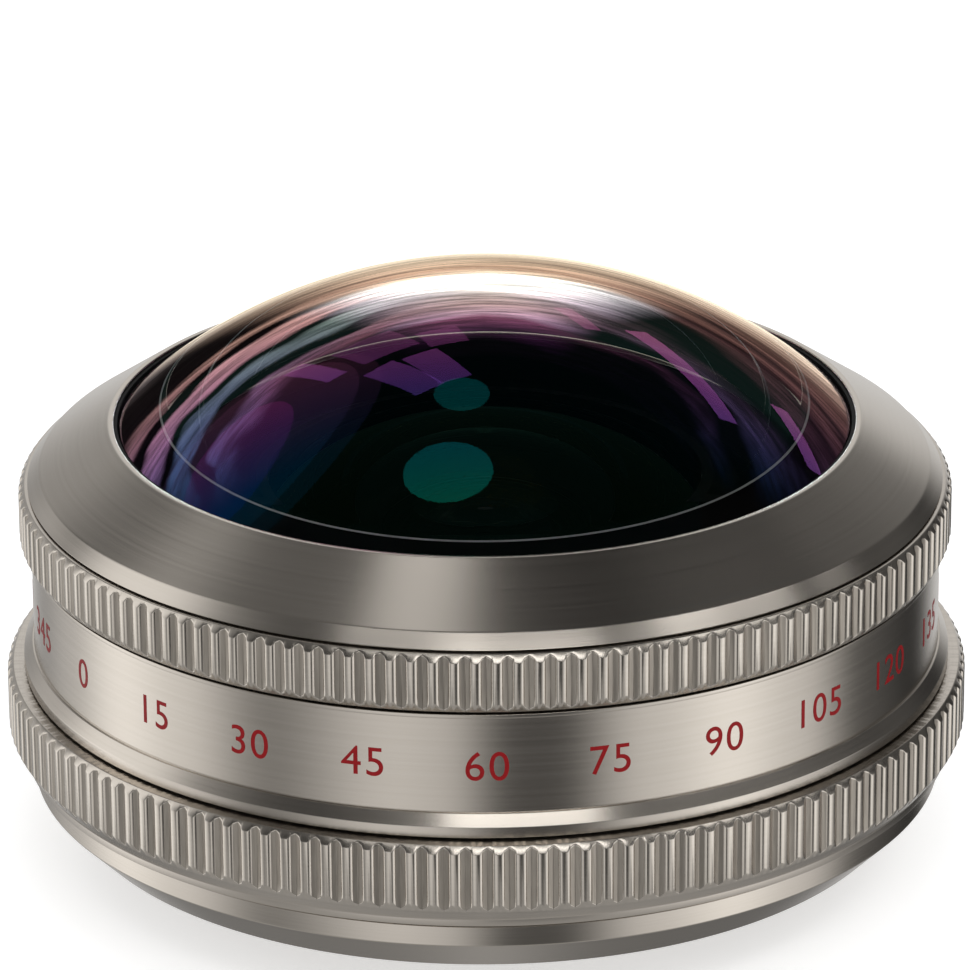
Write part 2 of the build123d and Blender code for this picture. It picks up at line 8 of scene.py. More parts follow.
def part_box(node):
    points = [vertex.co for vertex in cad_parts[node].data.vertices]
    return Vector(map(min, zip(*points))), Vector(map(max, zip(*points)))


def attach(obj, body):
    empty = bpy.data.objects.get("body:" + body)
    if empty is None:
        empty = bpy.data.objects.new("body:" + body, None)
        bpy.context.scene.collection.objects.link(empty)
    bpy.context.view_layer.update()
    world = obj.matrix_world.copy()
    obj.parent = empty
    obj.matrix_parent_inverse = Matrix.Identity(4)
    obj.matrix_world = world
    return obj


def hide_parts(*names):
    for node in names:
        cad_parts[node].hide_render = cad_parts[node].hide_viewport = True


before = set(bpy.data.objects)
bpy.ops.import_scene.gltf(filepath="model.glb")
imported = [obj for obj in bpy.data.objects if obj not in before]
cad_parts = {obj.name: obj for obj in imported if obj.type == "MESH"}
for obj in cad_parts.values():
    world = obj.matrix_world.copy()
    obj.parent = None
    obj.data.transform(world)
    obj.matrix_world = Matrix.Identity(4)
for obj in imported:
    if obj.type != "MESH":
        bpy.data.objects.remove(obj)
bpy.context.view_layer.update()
MM = 0.001


# Barrel, baffle, cell and sleeves: the tubes that carry the glasses, turned from aluminium and
# dyed black, so that no light finds a way round the glasses. They stay as the frame has them
# and get their finish here.
def colour(code):
    """Linear colour of an sRGB hex code."""
    channels = [int(code[i:i + 2], 16) / 255 for i in (1, 3, 5)]
    return [c / 12.92 if c <= 0.04045 else ((c + 0.055) / 1.055) ** 2.4 for c in channels] + [1.0]


def add_node(tree, kind, settings=(), links=()):
    """Adds a node, sets its options and sockets, and links its sockets to other nodes' outputs."""
    made = tree.nodes.new(kind)
    for name, value in dict(settings).items():
        if isinstance(name, str) and name not in made.inputs:
            setattr(made, name, value)
        else:
            made.inputs[name].default_value = value
    for name, source in dict(links).items():
        tree.links.new(source, made.inputs[name])
    return made


def new_material(name, settings):
    """A material with one Principled shader, and its tree, Object coordinates and shader."""
    material = bpy.data.materials.new(name)
    material.use_nodes = True
    tree = material.node_tree
    tree.nodes.clear()
    place = add_node(tree, "ShaderNodeTexCoord").outputs["Object"]
    shader = add_node(tree, "ShaderNodeBsdfPrincipled", settings)
    add_node(tree, "ShaderNodeOutputMaterial", links={"Surface": shader.outputs[0]})
    return material, tree, place, shader


def distance_from_axis(tree, place):
    """The radius at which a point lies."""
    across = add_node(tree, "ShaderNodeVectorMath", {"operation": "MULTIPLY", 1: (1, 1, 0)}, {0: place})
    radius = add_node(tree, "ShaderNodeVectorMath", {"operation": "LENGTH"}, {0: across.outputs[0]})
    return radius.outputs["Value"]


def turned_lines(tree, place, line_width):
    """Noise that changes only with height and distance from the axis, as a lathe tool's marks do."""
    radius = distance_from_axis(tree, place)
    height = add_node(tree, "ShaderNodeSeparateXYZ", links={0: place})
    section = add_node(tree, "ShaderNodeCombineXYZ", links={"X": radius, "Y": height.outputs["Z"]})
    return add_node(
        tree, "ShaderNodeTexNoise",
        {"noise_dimensions": "2D", "Scale": 0.5 / line_width, "Detail": 3.0, "Roughness": 0.7},
        {"Vector": section.outputs[0]},
    ).outputs[0]


def dress(material, *nodes):
    """Gives nodes of the frame a material."""
    for name in nodes:
        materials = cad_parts[name].data.materials
        materials.clear()
        materials.append(material)


# Black anodised aluminium, turned: matt, with lathe marks 0.2 mm wide that show as faint rings
black_anodised, tree, place, shader = new_material(
    "black_anodised_aluminium",
    {"Base Color": colour("#030505"), "Roughness": 0.45, "Specular IOR Level": 0.05},
)
lines = turned_lines(tree, place, 0.2 * MM)
sheen = add_node(tree, "ShaderNodeMapRange", {"To Min": 0.38, "To Max": 0.55}, {"Value": lines})
marks = add_node(tree, "ShaderNodeBump", {"Strength": 0.35, "Distance": 0.02 * MM}, {"Height": lines})
tree.links.new(sheen.outputs[0], shader.inputs["Roughness"])
tree.links.new(marks.outputs[0], shader.inputs["Normal"])
dress(
    black_anodised, "main_barrel", "front_baffle", "second_retaining_ring", "cam_sleeve", "focus_cell",
    "cell_spacer", "aperture_stop", "stop_spacer", "cell_retaining_ring",
)

# Pins, screws and glide rings of the moving tubes: three turned brass followers pressed into the
# cell, blackened steel screws in the cam sleeve and the barrel, and slippery plastic washers.

# Turned brass: warm and bright, dulled in spots by handling
brass, tree, place, shader = new_material(
    "turned_brass", {"Base Color": colour("#D0AA62"), "Metallic": 1.0, "Roughness": 0.28}
)
spots = add_node(tree, "ShaderNodeTexNoise", {"Scale": 1 / (0.6 * MM), "Detail": 4.0}, {"Vector": place})
dulled = add_node(tree, "ShaderNodeMapRange", {"To Min": 0.2, "To Max": 0.4}, {"Value": spots.outputs[0]})
tree.links.new(dulled.outputs[0], shader.inputs["Roughness"])
dress(brass, "cam_followers")

# Blackened steel: dipped in a hot black bath, greyer where the black is thin
blackened_steel, tree, place, shader = new_material("blackened_steel", {"Metallic": 1.0, "Roughness": 0.35})
thin = add_node(tree, "ShaderNodeTexNoise", {"Scale": 1 / (0.4 * MM), "Detail": 5.0}, {"Vector": place})
tone = add_node(tree, "ShaderNodeValToRGB", links={"Fac": thin.outputs[0]})
tone.color_ramp.elements[0].color = colour("#3C3C40")
tone.color_ramp.elements[1].color = colour("#8A8A8E")
tree.links.new(tone.outputs[0], shader.inputs["Base Color"])
dress(blackened_steel, "cam_screws", "focus_stop_screw")

# Acetal plastic: milky, smooth from the punch, a little uneven in tone
acetal, tree, place, shader = new_material("acetal", {"Roughness": 0.42, "IOR": 1.48})
cloud = add_node(tree, "ShaderNodeTexNoise", {"Scale": 1 / (2 * MM), "Detail": 2.0}, {"Vector": place})
tone = add_node(tree, "ShaderNodeValToRGB", links={"Fac": cloud.outputs[0]})
tone.color_ramp.elements[0].color = colour("#DAD7CC")
tone.color_ramp.elements[1].color = colour("#ECEAE2")
tree.links.new(tone.outputs[0], shader.inputs["Base Color"])
dress(acetal, "focus_glide_ring", "front_glide_ring", "rear_glide_ring")


# Inner glasses: four polished lenses behind the front one. Each is centred in its seat and held
# by a screwed ring. A vacuum coating of magnesium fluoride, thicker or thinner from glass to
# glass, tints what little light they mirror.
film_index = 1.38
rim_distance = 22


def coated_glass(name, index, film, rim_film):
    """Polished glass whose coating has one thickness in nanometres at the axis and one at the rim."""
    material, tree, place, shader = new_material(
        name,
        {
            "Base Color": colour("#FFFFFF"), "Roughness": 0.0, "IOR": index, "Transmission Weight": 1.0,
            "Thin Film IOR": film_index,
        },
    )
    thickness = add_node(
        tree, "ShaderNodeMapRange",
        {"From Max": rim_distance * MM, "To Min": film, "To Max": rim_film},
        {"Value": distance_from_axis(tree, place)},
    )
    tree.links.new(thickness.outputs[0], shader.inputs["Thin Film Thickness"])
    return material


# Dense flint looks green by reflection, and the crowns of the rear group violet
dress(coated_glass("flint_green_coated", 1.72, 285, 275), "second_element", "fourth_element")
dress(coated_glass("crown_violet_coated", 1.55, 345, 335), "third_element", "fifth_element")


# Front element: the bulging front glass, a deep meniscus ground and polished from one blank. Its
# rim is painted black, which keeps stray light out, and the sharp edge of its hollow has a
# narrow ground bevel that shows through the glass as a pale ring.
def reach(node):
    """Radius, bottom and top of a node of the frame, in millimetres."""
    low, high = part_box(node)
    return high.x / MM, low.z / MM, high.z / MM


def start_outline(name, first):
    """Starts a new piece in edit mode, with one point of its outline (radius, height) in millimetres."""
    bpy.ops.object.select_all(action="DESELECT")
    bpy.ops.mesh.primitive_plane_add(size=MM, location=(first[0] * MM, 0, first[1] * MM))
    piece = bpy.context.object
    piece.name = name
    bpy.ops.object.transform_apply(location=True)
    bpy.ops.object.mode_set(mode="EDIT")
    bpy.ops.mesh.select_mode(type="VERT")
    bpy.ops.mesh.merge(type="CENTER")
    return piece


def draw_line(start, end):
    """Draws the outline's next straight side."""
    step = ((end[0] - start[0]) * MM, 0, (end[1] - start[1]) * MM)
    bpy.ops.mesh.extrude_region_move(TRANSFORM_OT_translate={"value": step})


def draw_arc(start, end, centre, steps):
    """Draws the outline's next side as an arc about a centre on the axis."""
    turn = math.atan2(end[1] - centre, end[0]) - math.atan2(start[1] - centre, start[0])
    bpy.ops.mesh.spin(steps=steps, angle=turn, center=(0, 0, centre * MM), axis=(0, 1, 0))


def round_corners(radius, sharpest=math.radians(12)):
    """Rounds every corner of the outline, but not the joints of an arc's short sides."""
    bpy.ops.mesh.select_all(action="SELECT")
    bpy.ops.mesh.remove_doubles(threshold=0.001 * MM)
    bpy.ops.mesh.select_all(action="DESELECT")
    outline = bmesh.from_edit_mesh(bpy.context.object.data)
    for point in outline.verts:
        if len(point.link_edges) == 2:
            ways = [edge.other_vert(point).co - point.co for edge in point.link_edges]
            point.select = ways[0].angle(ways[1]) < math.pi - sharpest
    outline.select_flush_mode()
    bmesh.update_edit_mesh(bpy.context.object.data)
    bpy.ops.mesh.bevel(affect="VERTICES", offset=radius * MM, segments=3)


def turn_outline(steps):
    """Spins the outline about the axis into a closed piece with clean shading."""
    bpy.ops.mesh.select_all(action="SELECT")
    bpy.ops.mesh.spin(steps=steps, angle=2 * math.pi, center=(0, 0, 0), axis=(0, 0, 1))
    close_piece()


def close_piece():
    """Merges a piece's seams and poles, points its faces outwards and shades it."""
    bpy.ops.mesh.select_all(action="SELECT")
    bpy.ops.mesh.remove_doubles(threshold=0.001 * MM)
    bpy.ops.mesh.normals_make_consistent(inside=False)
    bpy.ops.object.mode_set(mode="OBJECT")
    bpy.ops.object.shade_smooth_by_angle(angle=math.radians(32))
    bpy.ops.object.modifier_add(type="WEIGHTED_NORMAL")
    weighted = bpy.context.object.modifiers[-1]
    weighted.keep_sharp = True
    bpy.ops.object.modifier_apply(modifier=weighted.name)


glass_radius, glass_bottom, glass_apex = reach("front_element")
rim_top = 23.9
glass_thickness = 3.0
hollow_radius = 18.0
hollow_apex = glass_apex - glass_thickness
hollow_bevel = 0.06


def ball_centre(apex, radius, height):
    """Height of the centre of a ball on the axis, from its apex and one point (radius, height)."""
    drop = apex - height
    return apex - (radius ** 2 + drop ** 2) / (2 * drop)


dome_centre = ball_centre(glass_apex, glass_radius, rim_top)
hollow_centre = ball_centre(hollow_apex, hollow_radius, glass_bottom)
bevel_angle = math.asin((hollow_radius - hollow_bevel) / (hollow_apex - hollow_centre))
bevel_inner = (
    hollow_radius - hollow_bevel,
    hollow_centre + (hollow_apex - hollow_centre) * math.cos(bevel_angle),
)
bevel_outer = (hollow_radius + hollow_bevel, glass_bottom)
front_glass = start_outline("front_glass", (0, glass_apex))
draw_arc((0, glass_apex), (glass_radius, rim_top), dome_centre, steps=48)
draw_line((glass_radius, rim_top), (glass_radius, glass_bottom))
draw_line((glass_radius, glass_bottom), bevel_outer)
draw_line(bevel_outer, bevel_inner)
draw_arc(bevel_inner, (0, hollow_apex), hollow_centre, steps=40)
turn_outline(steps=256)

# Crown glass with a magnesium fluoride film of 350 to 380 nm: teal where it is seen straight on,
# violet at a slant and warm at a grazing angle
front_glass.data.materials.append(coated_glass("crown_purple_coated", 1.62, 350, 380))

# Black edge paint: dead matt, brushed on
edge_paint, tree, place, shader = new_material(
    "black_edge_paint", {"Base Color": colour("#020203"), "Roughness": 0.6, "Specular IOR Level": 0.1}
)
grain = add_node(tree, "ShaderNodeTexNoise", {"Scale": 1 / (0.3 * MM), "Detail": 3.0}, {"Vector": place})
brushed = add_node(
    tree, "ShaderNodeBump", {"Strength": 0.3, "Distance": 0.02 * MM}, {"Height": grain.outputs[0]}
)
tree.links.new(brushed.outputs[0], shader.inputs["Normal"])
front_glass.data.materials.append(edge_paint)

# Fine-ground glass: pale and dull, left by the bevelling tool
ground_glass, tree, place, shader = new_material(
    "fine_ground_glass", {"Roughness": 0.5, "IOR": 1.62, "Specular IOR Level": 0.6}
)
grit = add_node(tree, "ShaderNodeTexNoise", {"Scale": 1 / (0.08 * MM), "Detail": 2.0}, {"Vector": place})
tone = add_node(tree, "ShaderNodeValToRGB", links={"Fac": grit.outputs[0]})
tone.color_ramp.elements[0].color = colour("#C4CCCC")
tone.color_ramp.elements[1].color = colour("#EEF4F4")
tree.links.new(tone.outputs[0], shader.inputs["Base Color"])
front_glass.data.materials.append(ground_glass)

for face in front_glass.data.polygons:
    radius = math.hypot(face.center.x, face.center.y) / MM
    height = face.center.z / MM
    on_bevel = abs(radius - hollow_radius) < hollow_bevel and height < glass_bottom + 2 * hollow_bevel
    if on_bevel:
        face.material_index = 2
    elif abs(face.normal.z) < 0.1 or face.normal.z < -0.99 and height < glass_bottom + hollow_bevel:
        face.material_index = 1
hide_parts("front_element")
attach(front_glass, "barrel")

# Front seal: a ring of black rubber squeezed between the bezel's lip and the glass. It keeps
# dust out and shows as a thin black line round the dome.

# Black nitrile rubber: matt, its moulded skin finely pored
rubber, tree, place, shader = new_material(
    "black_nitrile_rubber", {"Base Color": colour("#0B0B0B"), "Roughness": 0.7}
)
skin = add_node(tree, "ShaderNodeTexNoise", {"Scale": 1 / (0.15 * MM), "Detail": 4.0}, {"Vector": place})
pores = add_node(
    tree, "ShaderNodeBump", {"Strength": 0.4, "Distance": 0.02 * MM}, {"Height": skin.outputs[0]}
)
tree.links.new(pores.outputs[0], shader.inputs["Normal"])
dress(rubber, "front_seal")

# Front bezel: a wide turned cone that screws over the barrel and clamps the front glass by its
# narrow lip. It is turned from one aluminium bar, its edges broken, then satin anodised in a
# warm silver.
bezel_radius, bezel_bottom, bezel_top = reach("front_bezel")
bezel_bore = 24.68
bezel_corner = (27.2, 21.93)
lip_outer = 22.95
lip_inner = 22.6
bezel_edge_break = 0.07
lip_foot = 24.47
pocket_radius = 23.05
pocket_top = 24.05
pocket_bottom = 22.95
bezel_outline = [
    (bezel_bore, bezel_bottom),
    (bezel_radius, bezel_bottom),
    bezel_corner,
    (lip_outer, bezel_top),
    (lip_inner, bezel_top),
    (lip_inner, lip_foot),
    (pocket_radius, pocket_top),
    (pocket_radius, pocket_bottom),
    (bezel_bore, pocket_bottom),
]


def turned_piece(name, outline, break_radius, steps=192):
    """A piece turned from a closed outline of straight sides, with its corners rounded."""
    piece = start_outline(name, outline[0])
    for start, end in zip(outline, outline[1:] + outline[:1]):
        draw_line(start, end)
    round_corners(break_radius)
    turn_outline(steps)
    return piece


# Champagne anodised aluminium, turned to a satin face: the lathe's fine rings spread a reflection
# across them, so the gloss is stretched along the section, and they show as faint hairlines
satin_aluminium, tree, place, shader = new_material(
    "champagne_anodised_aluminium",
    {"Metallic": 1.0, "Roughness": 0.24, "Anisotropic": 0.6, "Anisotropic Rotation": 0.25},
)
around = add_node(tree, "ShaderNodeTangent", {"direction_type": "RADIAL", "axis": "Z"})
lines = turned_lines(tree, place, 0.12 * MM)
tone = add_node(tree, "ShaderNodeValToRGB", links={"Fac": lines})
tone.color_ramp.elements[0].color = colour("#CBC3B8")
tone.color_ramp.elements[1].color = colour("#D7CFC5")
satin = add_node(tree, "ShaderNodeMapRange", {"To Min": 0.21, "To Max": 0.27}, {"Value": lines})
rings = add_node(tree, "ShaderNodeBump", {"Strength": 0.08, "Distance": 0.01 * MM}, {"Height": lines})
for socket, source in [("Tangent", around), ("Base Color", tone), ("Roughness", satin), ("Normal", rings)]:
    tree.links.new(source.outputs[0], shader.inputs[socket])

bezel = turned_piece("bezel", bezel_outline, bezel_edge_break)
bezel.data.materials.append(satin_aluminium)
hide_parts("front_bezel")
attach(bezel, "barrel")

# Focus ring and mount ring: the two grip rings, turned and then cut with 144 straight grooves
# each. A groove has rounded, polished shoulders and a duller floor, a shallow V. Its ends run out
# in points on the ring's chamfers.

# The same aluminium where the cutter left it: duller and streaked along the cut, and painted darker as
# shade in the groove's recess
milled_and_shaded_aluminium, tree, place, shader = new_material(
    "milled_and_shaded_aluminium", {"Metallic": 1.0, "Roughness": 0.45}
)
along = add_node(tree, "ShaderNodeVectorMath", {"operation": "MULTIPLY", 1: (1, 1, 0.08)}, {0: place})
cuts = add_node(
    tree, "ShaderNodeTexNoise", {"Scale": 0.5 / (0.06 * MM), "Detail": 2.0}, {"Vector": along.outputs[0]}
)
tone = add_node(tree, "ShaderNodeValToRGB", links={"Fac": cuts.outputs[0]})
tone.color_ramp.elements[0].color = colour("#9A938A")
tone.color_ramp.elements[1].color = colour("#BEB6AB")
tree.links.new(tone.outputs[0], shader.inputs["Base Color"])

groove_count = 144
groove_pitch = 2 * math.pi / groove_count

# Half of a groove's section: distances from its middle, and depths
groove_half = [(0.46, 0.0), (0.4, 0.03), (0.33, 0.08), (0.28, 0.16), (0.04, 0.27)]
groove_steps = [(-side, depth) for side, depth in groove_half] + groove_half[::-1]
milled_depth = 0.18
grip_chamfer = 0.36
grip_rear_chamfer = 0.6
grip_front_chamfer = 0.46
grip_edge = 0.045
grip_edge_zone = 1.0


def grooved_ring(name, outline, crest, grip_bottom, grip_top):
    """A turned ring whose crest is grooved: one groove is modelled and copied round the axis."""
    piece = start_outline(name, outline[0])
    for start, end in zip(outline, outline[1:] + outline[:1]):
        draw_line(start, end)
    bpy.ops.mesh.select_all(action="SELECT")
    bpy.ops.mesh.remove_doubles(threshold=0.001 * MM)

    # The outline is extruded round the axis in uneven steps, one at each edge of the groove. With
    # no window, transform.rotate turns the other way, so a negative value goes on anticlockwise.
    stops = [math.asin(side / crest) for side, depth in groove_steps] + [groove_pitch / 2]
    last = -groove_pitch / 2
    bpy.ops.transform.rotate(value=-last, orient_axis="Z", center_override=(0, 0, 0))
    for stop in stops:
        bpy.ops.mesh.extrude_region_move(TRANSFORM_OT_translate={"value": (0, 0, 0)})
        bpy.ops.transform.rotate(value=last - stop, orient_axis="Z", center_override=(0, 0, 0))
        last = stop

    # The crest's two corners on each step are pushed in by the groove's depth, down the chamfers
    for side, depth in groove_steps:
        for corner, slide in [
            (grip_bottom + grip_rear_chamfer, -grip_rear_chamfer / grip_chamfer),
            (grip_top - grip_front_chamfer, grip_front_chamfer / grip_chamfer),
        ]:
            if depth:
                bpy.ops.mesh.select_all(action="DESELECT")
                slice_mesh = bmesh.from_edit_mesh(piece.data)
                where = Vector((math.sqrt(crest ** 2 - side ** 2), side, corner)) * MM
                for point in slice_mesh.verts:
                    point.select = (point.co - where).length < 0.01 * MM
                slice_mesh.select_flush_mode()
                bmesh.update_edit_mesh(piece.data)
                bpy.ops.transform.translate(value=(-depth * MM, 0, depth * slide * MM))

    # The outer edges are broken, but not those of the bore, which stay hidden
    bpy.ops.mesh.select_mode(type="EDGE")
    bpy.ops.mesh.select_all(action="DESELECT")
    bpy.ops.mesh.edges_select_sharp(sharpness=math.radians(35))
    slice_mesh = bmesh.from_edit_mesh(piece.data)
    for edge in slice_mesh.edges:
        middle = (edge.verts[0].co + edge.verts[1].co) / 2
        if math.hypot(middle.x, middle.y) < (crest - grip_edge_zone) * MM:
            edge.select = False
    slice_mesh.select_flush_mode()
    bmesh.update_edit_mesh(piece.data)
    bpy.ops.mesh.bevel(offset=grip_edge * MM, segments=2, affect="EDGES", clamp_overlap=True)
    bpy.ops.mesh.select_all(action="SELECT")
    bpy.ops.mesh.spin(
        dupli=True, steps=groove_count - 1, angle=2 * math.pi - groove_pitch,
        center=(0, 0, 0), axis=(0, 0, 1),
    )
    close_piece()
    piece.data.materials.append(satin_aluminium)
    piece.data.materials.append(milled_and_shaded_aluminium)
    # The groove's floor and deep walls take the darker colour, which is painted shade in the recess
    for face in piece.data.polygons:
        depth = crest - math.hypot(face.center.x, face.center.y) / MM
        if abs(face.normal.z) < 0.1 and milled_depth < depth < grip_chamfer:
            face.material_index = 1
    return piece


focus_crest = 28.5
focus_root = focus_crest - grip_chamfer
focus_bore = 25.92
counterbore = 27.02
counterbore_depth = 0.5
_, focus_bottom, focus_top = reach("focus_ring")
focus_outline = [
    (focus_bore, focus_bottom),
    (focus_root, focus_bottom),
    (focus_crest, focus_bottom + grip_rear_chamfer),
    (focus_crest, focus_top - grip_front_chamfer),
    (focus_root, focus_top),
    (counterbore, focus_top),
    (counterbore, focus_top - counterbore_depth),
    (focus_bore, focus_top - counterbore_depth),
]
focus_grip = grooved_ring("focus_grip_ring", focus_outline, focus_crest, focus_bottom, focus_top)

# Three blind holes run out from the bore for the screws that hold the cam sleeve
cam_screw_inset = 1.9
cam_screw_hole = 0.72
cam_screw_hole_start = focus_bore - 0.5
cam_screw_hole_end = 27.12


def cut_away(piece, cutters):
    """Cuts the cutters' shapes out of a piece and removes the cutters."""
    for cutter in cutters:
        bpy.ops.object.select_all(action="DESELECT")
        piece.select_set(True)
        bpy.context.view_layer.objects.active = piece
        bpy.ops.object.modifier_add(type="BOOLEAN")
        cut = piece.modifiers[-1]
        cut.operation = "DIFFERENCE"
        cut.solver = "EXACT"
        cut.object = cutter
        bpy.ops.object.modifier_apply(modifier=cut.name)
        bpy.data.objects.remove(cutter)
    bpy.ops.object.mode_set(mode="EDIT")
    bpy.ops.mesh.select_all(action="SELECT")
    bpy.ops.mesh.remove_doubles(threshold=0.001 * MM)
    bpy.ops.object.mode_set(mode="OBJECT")


drills = []
for degrees in [90, 210, 330]:
    turn = math.radians(degrees)
    out = (cam_screw_hole_start + cam_screw_hole_end) / 2
    middle = Vector((out * math.cos(turn), out * math.sin(turn), focus_top - cam_screw_inset))
    bpy.ops.object.select_all(action="DESELECT")
    bpy.ops.mesh.primitive_cylinder_add(
        vertices=32, radius=cam_screw_hole * MM, depth=(cam_screw_hole_end - cam_screw_hole_start) * MM,
        location=middle * MM, rotation=(0, math.pi / 2, turn),
    )
    drills.append(bpy.context.object)
cut_away(focus_grip, drills)
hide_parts("focus_ring")
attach(focus_grip, "focus_grip")

mount_crest = 29.5
mount_root = mount_crest - grip_chamfer
mount_step_radius = 28.6
mount_step_height = 0.45
mount_slope_height = 0.68
mount_bore = 26.4
mount_lip_bore = 24.7
mount_lip_height = 2.1
_, mount_bottom, mount_top = reach("mount_ring")
mount_grip_bottom = mount_bottom + mount_step_height + mount_slope_height
mount_outline = [
    (mount_bore, mount_bottom),
    (mount_step_radius, mount_bottom),
    (mount_step_radius, mount_bottom + mount_step_height),
    (mount_root, mount_grip_bottom),
    (mount_crest, mount_grip_bottom + grip_rear_chamfer),
    (mount_crest, mount_top - grip_front_chamfer),
    (mount_root, mount_top),
    (mount_lip_bore, mount_top),
    (mount_lip_bore, mount_top - mount_lip_height),
    (mount_bore, mount_top - mount_lip_height),
]
mount_grip = grooved_ring("mount_grip_ring", mount_outline, mount_crest, mount_grip_bottom, mount_top)
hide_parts("mount_ring")
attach(mount_grip, "mount_base")

# Scale sleeve: the plain waist between the grips, turned with a bead above and a shoulder below
# and screwed down on the barrel. Plain degree numbers are engraved round it and filled with
# red enamel.
waist_radius = 27.8
sleeve_bore = 26.3
sleeve_foot_bore = 24.68
sleeve_foot = 1.15
bead_radius = 27.95
bead_height = 0.25
shoulder_height = 0.65
shoulder_slope = 0.7
sleeve_edge_break = 0.04
shoulder_radius, sleeve_bottom, sleeve_top = reach("scale_sleeve")
shoulder_top = sleeve_bottom + shoulder_height
waist_bottom = shoulder_top + shoulder_slope
waist_top = sleeve_top - bead_height
sleeve_outline = [
    (sleeve_foot_bore, sleeve_bottom),
    (shoulder_radius, sleeve_bottom),
    (shoulder_radius, shoulder_top),
    (bead_radius, waist_bottom),
    (waist_radius, waist_bottom),
    (waist_radius, waist_top),
    (bead_radius, waist_top),
    (bead_radius, sleeve_top),
    (sleeve_bore, sleeve_top),
    (sleeve_bore, sleeve_bottom + sleeve_foot),
    (sleeve_foot_bore, sleeve_bottom + sleeve_foot),
]
sleeve = turned_piece("waist_sleeve", sleeve_outline, sleeve_edge_break)
sleeve.data.materials.append(satin_aluminium)
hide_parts("scale_sleeve")
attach(sleeve, "barrel")

# Each number is cut into narrow upright strips, so that it bends smoothly round the waist
number_step = 15
number_in_front = 60
number_height = 2.6
number_rise = 2.05
letter_spacing = 1.1
enamel_proud = 0.012
strip_width = 0.3
numbers = []
for degrees in range(0, 360, number_step):
    bpy.ops.object.select_all(action="DESELECT")
    bpy.ops.object.text_add()
    number = bpy.context.object
    number.data.body = str(degrees)
    number.data.size = number_height * MM
    number.data.align_x = "CENTER"
    number.data.space_character = letter_spacing
    number.data.extrude = enamel_proud * MM
    bpy.ops.object.convert(target="MESH")
    number = bpy.context.object
    bpy.ops.object.mode_set(mode="EDIT")
    bpy.ops.mesh.select_all(action="SELECT")
    bpy.ops.mesh.remove_doubles(threshold=0.001 * MM)
    half_width = max(point.co.x for point in number.data.vertices)
    cuts = int(2 * half_width / (strip_width * MM))
    for cut in range(-cuts, cuts + 1):
        bpy.ops.mesh.select_all(action="SELECT")
        bpy.ops.mesh.bisect(plane_co=(cut * strip_width * MM, 0, 0), plane_no=(1, 0, 0))
    bpy.ops.object.mode_set(mode="OBJECT")
    middle = math.radians(degrees - number_in_front - 90)
    foot = (waist_bottom + number_rise) * MM
    for point in number.data.vertices:
        angle = middle + point.co.x / (waist_radius * MM)
        out = waist_radius * MM + point.co.z
        point.co = (out * math.cos(angle), out * math.sin(angle), foot + point.co.y)
    numbers.append(number)
bpy.ops.object.select_all(action="DESELECT")
for number in numbers:
    number.select_set(True)
bpy.context.view_layer.objects.active = numbers[0]
bpy.ops.object.join()
degree_numbers = bpy.context.object
degree_numbers.name = "degree_numbers"

# Red enamel: wiped into the engraving and baked, with a soft gloss and a slightly uneven face
enamel, tree, place, shader = new_material("red_enamel", {"Roughness": 0.4, "Specular IOR Level": 0.2})
wiped = add_node(tree, "ShaderNodeTexNoise", {"Scale": 1 / (0.25 * MM), "Detail": 3.0}, {"Vector": place})
tone = add_node(tree, "ShaderNodeValToRGB", links={"Fac": wiped.outputs[0]})
tone.color_ramp.elements[0].color = colour("#80090F")
tone.color_ramp.elements[1].color = colour("#9A1016")
tree.links.new(tone.outputs[0], shader.inputs["Base Color"])
degree_numbers.data.materials.append(enamel)
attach(degree_numbers, "barrel")

# Rear flange: the base of the lens, a shallow turned cup that screws up into the mount ring. Its
# flat rear face seats on the phone case and is recessed for the spigot.
flange_radius, flange_bottom, flange_top = reach("rear_flange")
flange_chamfer = 2.28
band_top = 3.53
ring_seat = 27.185
register_outer = 26.37
register_inner = 23.5
flange_floor = 2.6
pilot_bore = 9.42
spigot_recess = 12.92
spigot_recess_depth = 1.2
base_edge_break = 0.06
flange_outline = [
    (spigot_recess, flange_bottom),
    (flange_radius - flange_chamfer, flange_bottom),
    (flange_radius, flange_bottom + flange_chamfer),
    (flange_radius, band_top),
    (ring_seat, band_top),
    (ring_seat, mount_bottom),
    (register_outer, mount_bottom),
    (register_outer, flange_top),
    (register_inner, flange_top),
    (register_inner, flange_floor),
    (pilot_bore, flange_floor),
    (pilot_bore, spigot_recess_depth),
    (spigot_recess, spigot_recess_depth),
]
base = turned_piece("base_flange", flange_outline, base_edge_break)

# Four blind tapped holes, drilled from inside the recess, take the spigot's screws
screw_circle = 11.15
screw_hole = 0.72
screw_hole_start = 1.0
screw_hole_top = 2.32


def add_drill(turn, bottom, top):
    """A cylinder for a screw's hole on the screw circle, between two heights."""
    middle = Vector((screw_circle * math.cos(turn), screw_circle * math.sin(turn), (bottom + top) / 2))
    bpy.ops.object.select_all(action="DESELECT")
    bpy.ops.mesh.primitive_cylinder_add(
        vertices=32, radius=screw_hole * MM, depth=(top - bottom) * MM, location=middle * MM
    )
    return bpy.context.object


screw_turns = [quarter * math.pi / 2 for quarter in range(4)]
cut_away(base, [add_drill(turn, screw_hole_start, screw_hole_top) for turn in screw_turns])
base.data.materials.append(satin_aluminium)
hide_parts("rear_flange")
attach(base, "mount_base")

